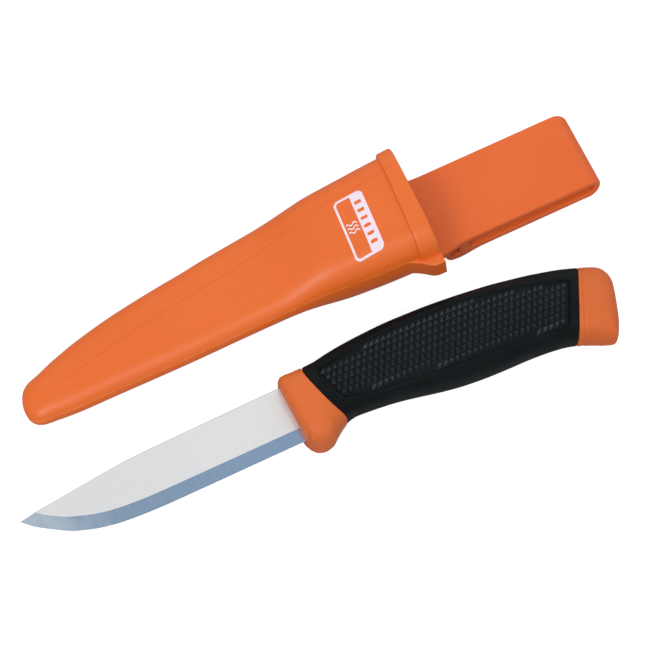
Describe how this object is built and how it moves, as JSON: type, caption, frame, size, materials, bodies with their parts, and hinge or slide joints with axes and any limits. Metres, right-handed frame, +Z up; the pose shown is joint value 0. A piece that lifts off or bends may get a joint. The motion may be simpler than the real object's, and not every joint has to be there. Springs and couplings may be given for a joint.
{
  "type": "fixed-blade craft knife with belt sheath",
  "caption": "Straight craft knife with a single-bevel-pair steel blade and soft black grip, lying beside its moulded orange belt-loop sheath.",
  "frame": {"origin": "on the table, under the middle of the whole set's box", "axes": "+X along the blade from its point to the butt, +Y from the knife towards the sheath, +Z up from the table"},
  "size_m": [0.2356, 0.0932, 0.0363],
  "materials": {
    "steel": "fine ground, satin",
    "orange_handle_plastic": "moulded, satin",
    "black_soft_grip": "moulded, matt, knurled panels",
    "orange_sheath_plastic": "moulded, satin"
  },
  "bodies": {
    "sheath": {"sheath_mouth_end": "orange_sheath_plastic", "sheath_blade_end": "orange_sheath_plastic", "belt_strap": "orange_sheath_plastic"},
    "knife": {"blade": "steel", "handle_core": "orange_handle_plastic", "grip_sleeve": "black_soft_grip"},
    "belt_clip": {"belt_clip_leaf": "orange_sheath_plastic"}
  },
  "joints": [
    {"name": "knife_draw", "type": "slide", "parent": "sheath", "child": "knife", "axis": [1, 0, 0], "range_m": [0, 0.138]},
    {"name": "belt_clip_flex", "type": "hinge", "parent": "sheath", "child": "belt_clip", "pos_m": [0.11183, 0.02274, 0.01298], "axis": [-0.048, -0.9988, 0], "range_deg": [0, 8], "stiffness_Nm_per_rad": 4, "springref_deg": -2.86}
  ]
}
